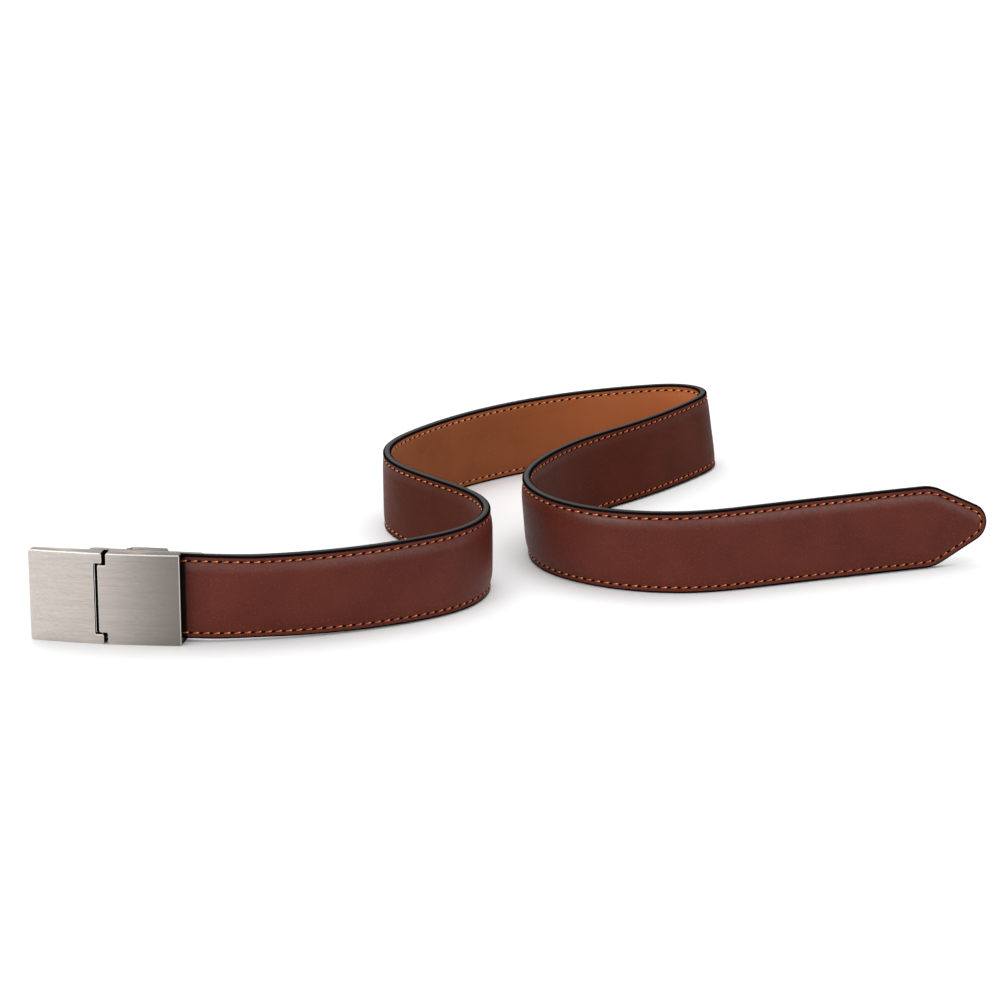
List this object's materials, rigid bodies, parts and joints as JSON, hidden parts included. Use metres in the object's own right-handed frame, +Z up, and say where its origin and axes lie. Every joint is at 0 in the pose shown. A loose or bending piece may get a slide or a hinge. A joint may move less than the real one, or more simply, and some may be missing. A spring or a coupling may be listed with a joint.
{
  "type": "ratchet belt",
  "caption": "Leather ratchet belt standing on its edge in a long S, with a two-part satin metal buckle, a brown strap with a tan stretch and a pointed tip.",
  "frame": {"origin": "on the surface the belt stands on, under the middle of the belt's box", "axes": "+X along the buckle from its free end to the strap, +Y away from the viewer, behind the buckle's face, +Z up across the strap's width"},
  "size_m": [0.3728, 0.3006, 0.0375],
  "materials": {
    "brown_leather": "smooth, low sheen",
    "tan_leather": "smooth, matte",
    "track_plastic": "moulded",
    "satin_nickel": "brushed along the belt, polished edges",
    "pin_steel": "plain"
  },
  "bodies": {
    "belt": {"strap_front_leather": "brown_leather", "strap_tan_panel": "tan_leather", "strap_tail_leather": "brown_leather", "strap_inner_leather": "brown_leather", "ratchet_track": "track_plastic", "buckle_frame": "satin_nickel", "face_plate_right": "satin_nickel", "face_hinge_pin": "pin_steel", "lever_pin": "pin_steel", "clamp_pin": "pin_steel"},
    "face": {"face_plate_left": "satin_nickel"},
    "lever": {"release_lever": "satin_nickel"},
    "clamp": {"clamp_flap": "satin_nickel"}
  },
  "joints": [
    {"name": "face_hinge", "type": "hinge", "parent": "belt", "child": "face", "pos_m": [-0.15718, -0.14863, 0], "axis": [0, 0, 1], "range_deg": [0, 35]},
    {"name": "lever_pivot", "type": "hinge", "parent": "belt", "child": "lever", "pos_m": [-0.15893, -0.14025, 0], "axis": [0, 0, 1], "range_deg": [0, 10], "stiffness_Nm_per_rad": 0.1, "springref_deg": -5.73},
    {"name": "clamp_hinge", "type": "hinge", "parent": "belt", "child": "clamp", "pos_m": [-0.12843, -0.1375, 0], "axis": [0, 0, -1], "range_deg": [0, 95]}
  ]
}
